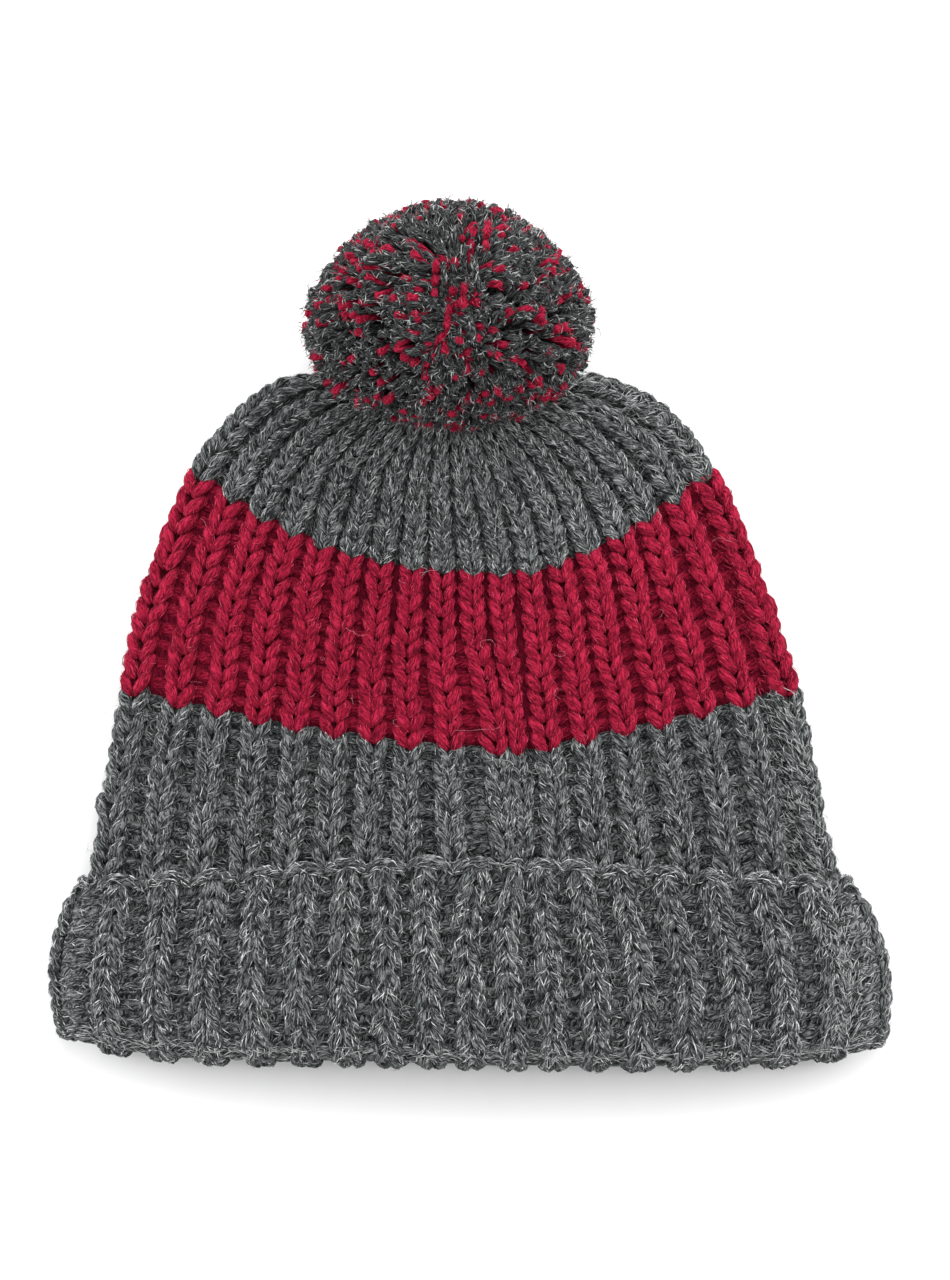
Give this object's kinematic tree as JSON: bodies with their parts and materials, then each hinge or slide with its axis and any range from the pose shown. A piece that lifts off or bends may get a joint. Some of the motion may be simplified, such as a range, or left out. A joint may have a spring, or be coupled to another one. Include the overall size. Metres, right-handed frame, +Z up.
{
  "type": "knitted beanie with pompom",
  "caption": "Rib-knitted winter beanie lying flat, grey with a wide red band, a turned-up ribbed cuff and a round yarn pompom on the gathered crown.",
  "frame": {"origin": "under the middle of the whole hat, on the surface that it lies on", "axes": "+Y from the mouth to the pompom, +X to the hat's right as the picture shows it, +Z up from the surface through the face that is seen"},
  "size_m": [0.2515, 0.2619, 0.0717],
  "materials": {
    "grey_knit": "matte heathered wool",
    "red_knit": "matte wool",
    "pompom_yarn": "matte cut wool yarn"
  },
  "bodies": {
    "root": {"crown": "grey_knit", "stripe": "red_knit", "band": "grey_knit", "cuff": "grey_knit", "pompom": "pompom_yarn"}
  },
  "joints": []
}
